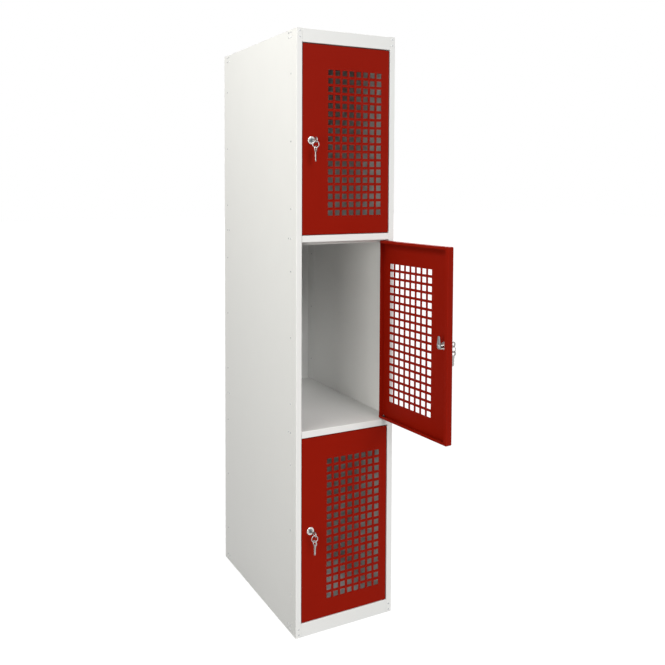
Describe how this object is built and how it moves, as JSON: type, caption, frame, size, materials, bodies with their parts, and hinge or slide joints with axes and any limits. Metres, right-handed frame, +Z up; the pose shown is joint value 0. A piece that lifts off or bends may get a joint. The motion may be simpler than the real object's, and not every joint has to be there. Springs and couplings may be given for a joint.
{
  "type": "bicycle locker",
  "caption": "Narrow sheet-steel locker for folding bicycles: stacked compartments, each with a perforated swing door and a cam lock with keys.",
  "frame": {"origin": "centre of the four floor-bolt holes, in the plane of the ground, under the middle of the cabinet", "axes": "+X to the right as seen from the front, +Y from the doors to the back, +Z up"},
  "size_m": [0.413, 0.9158, 1.98],
  "materials": {
    "body_paint": "white powder coat, semi-gloss",
    "rivet_metal": "plain aluminium blind rivets",
    "door_paint": "red powder coat, semi-gloss",
    "lock_chrome": "bright nickel",
    "key_nickel": "nickel-plated brass",
    "ring_steel": "bright steel wire",
    "zinc": "zinc plated",
    "nylon": "black nylon",
    "rubber_black": "black rubber"
  },
  "bodies": {
    "cabinet": {"left_side_panel": "body_paint", "right_side_panel": "body_paint", "back_panel": "body_paint", "roof_panel": "body_paint", "floor_tray": "body_paint", "upper_shelf": "body_paint", "lower_shelf": "body_paint", "left_front_post": "body_paint", "right_front_post": "body_paint", "left_seam_strip": "body_paint", "right_seam_strip": "body_paint", "top_rail": "body_paint", "plinth_rail": "body_paint", "hinge_pins": "zinc", "door_buffers": "rubber_black", "left_side_rivets": "rivet_metal", "right_side_rivets": "rivet_metal", "front_rivets": "rivet_metal", "back_rivets": "rivet_metal"},
    "lower_door_leaf": {"lower_door": "door_paint", "lower_hinge_bushes": "nylon", "lower_lock_housing": "lock_chrome", "lower_lock_washer": "zinc", "lower_lock_nut": "zinc"},
    "lower_lock_rotor": {"lower_lock_plug": "lock_chrome", "lower_lock_cam": "zinc", "lower_cam_screw": "zinc"},
    "lower_key_in_lock": {"lower_key": "key_nickel"},
    "lower_ring": {"lower_key_ring": "ring_steel"},
    "lower_spare": {"lower_spare_key": "key_nickel"},
    "middle_door_leaf": {"middle_door": "door_paint", "middle_hinge_bushes": "nylon", "middle_lock_housing": "lock_chrome", "middle_lock_washer": "zinc", "middle_lock_nut": "zinc"},
    "middle_lock_rotor": {"middle_lock_plug": "lock_chrome", "middle_lock_cam": "zinc", "middle_cam_screw": "zinc"},
    "middle_key_in_lock": {"middle_key": "key_nickel"},
    "middle_ring": {"middle_key_ring": "ring_steel"},
    "middle_spare": {"middle_spare_key": "key_nickel"},
    "upper_door_leaf": {"upper_door": "door_paint", "upper_hinge_bushes": "nylon", "upper_lock_housing": "lock_chrome", "upper_lock_washer": "zinc", "upper_lock_nut": "zinc"},
    "upper_lock_rotor": {"upper_lock_plug": "lock_chrome", "upper_lock_cam": "zinc", "upper_cam_screw": "zinc"},
    "upper_key_in_lock": {"upper_key": "key_nickel"},
    "upper_ring": {"upper_key_ring": "ring_steel"},
    "upper_spare": {"upper_spare_key": "key_nickel"}
  },
  "joints": [
    {"name": "lower_door_swing", "type": "hinge", "parent": "cabinet", "child": "lower_door_leaf", "pos_m": [0.1565, -0.2925, 0.352], "axis": [0, 0, 1], "range_deg": [0, 110]},
    {"name": "lower_lock_turn", "type": "hinge", "parent": "lower_door_leaf", "child": "lower_lock_rotor", "pos_m": [-0.1345, -0.299, 0.3495], "axis": [0, -1, 0], "range_deg": [0, 90]},
    {"name": "lower_key_pull", "type": "slide", "parent": "lower_lock_rotor", "child": "lower_key_in_lock", "axis": [0, -1, 0], "range_m": [-0.008, 0.03]},
    {"name": "lower_ring_hang", "type": "hinge", "parent": "lower_key_in_lock", "child": "lower_ring", "pos_m": [-0.1345, -0.3301, 0.342], "axis": [0, -1, 0], "range_deg": [-90, 0]},
    {"name": "lower_spare_swing", "type": "hinge", "parent": "lower_ring", "child": "lower_spare", "pos_m": [-0.1345, -0.3301, 0.32484], "axis": [-0.9848, 0.1736, 0], "range_deg": [-25, 45]},
    {"name": "middle_door_swing", "type": "hinge", "parent": "cabinet", "child": "middle_door_leaf", "pos_m": [0.1565, -0.2925, 0.99], "axis": [0, 0, 1], "range_deg": [-94, 16]},
    {"name": "middle_lock_turn", "type": "hinge", "parent": "middle_door_leaf", "child": "middle_lock_rotor", "pos_m": [0.18328, -0.58234, 0.9875], "axis": [0.9976, 0.0698, 0], "range_deg": [0, 90]},
    {"name": "middle_key_pull", "type": "slide", "parent": "middle_lock_rotor", "child": "middle_key_in_lock", "axis": [0.9976, 0.0698, 0], "range_m": [-0.008, 0.03]},
    {"name": "middle_ring_hang", "type": "hinge", "parent": "middle_key_in_lock", "child": "middle_ring", "pos_m": [0.21431, -0.58017, 0.98], "axis": [0.9976, 0.0698, 0], "range_deg": [-90, 0]},
    {"name": "middle_spare_swing", "type": "hinge", "parent": "middle_ring", "child": "middle_spare", "pos_m": [0.21431, -0.58017, 0.96284], "axis": [0.0698, -0.9976, 0], "range_deg": [-25, 45]},
    {"name": "upper_door_swing", "type": "hinge", "parent": "cabinet", "child": "upper_door_leaf", "pos_m": [0.1565, -0.2925, 1.628], "axis": [0, 0, 1], "range_deg": [0, 110]},
    {"name": "upper_lock_turn", "type": "hinge", "parent": "upper_door_leaf", "child": "upper_lock_rotor", "pos_m": [-0.1345, -0.299, 1.6255], "axis": [0, -1, 0], "range_deg": [0, 90]},
    {"name": "upper_key_pull", "type": "slide", "parent": "upper_lock_rotor", "child": "upper_key_in_lock", "axis": [0, -1, 0], "range_m": [-0.008, 0.03]},
    {"name": "upper_ring_hang", "type": "hinge", "parent": "upper_key_in_lock", "child": "upper_ring", "pos_m": [-0.1345, -0.3301, 1.618], "axis": [0, -1, 0], "range_deg": [-90, 0]},
    {"name": "upper_spare_swing", "type": "hinge", "parent": "upper_ring", "child": "upper_spare", "pos_m": [-0.1345, -0.3301, 1.60084], "axis": [-0.9781, 0.2079, 0], "range_deg": [-25, 45]}
  ],
  "couplings": [
    {"joint": "lower_ring_hang", "follows": "lower_lock_turn", "ratio": -1},
    {"joint": "middle_ring_hang", "follows": "middle_lock_turn", "ratio": -1},
    {"joint": "upper_ring_hang", "follows": "upper_lock_turn", "ratio": -1}
  ]
}
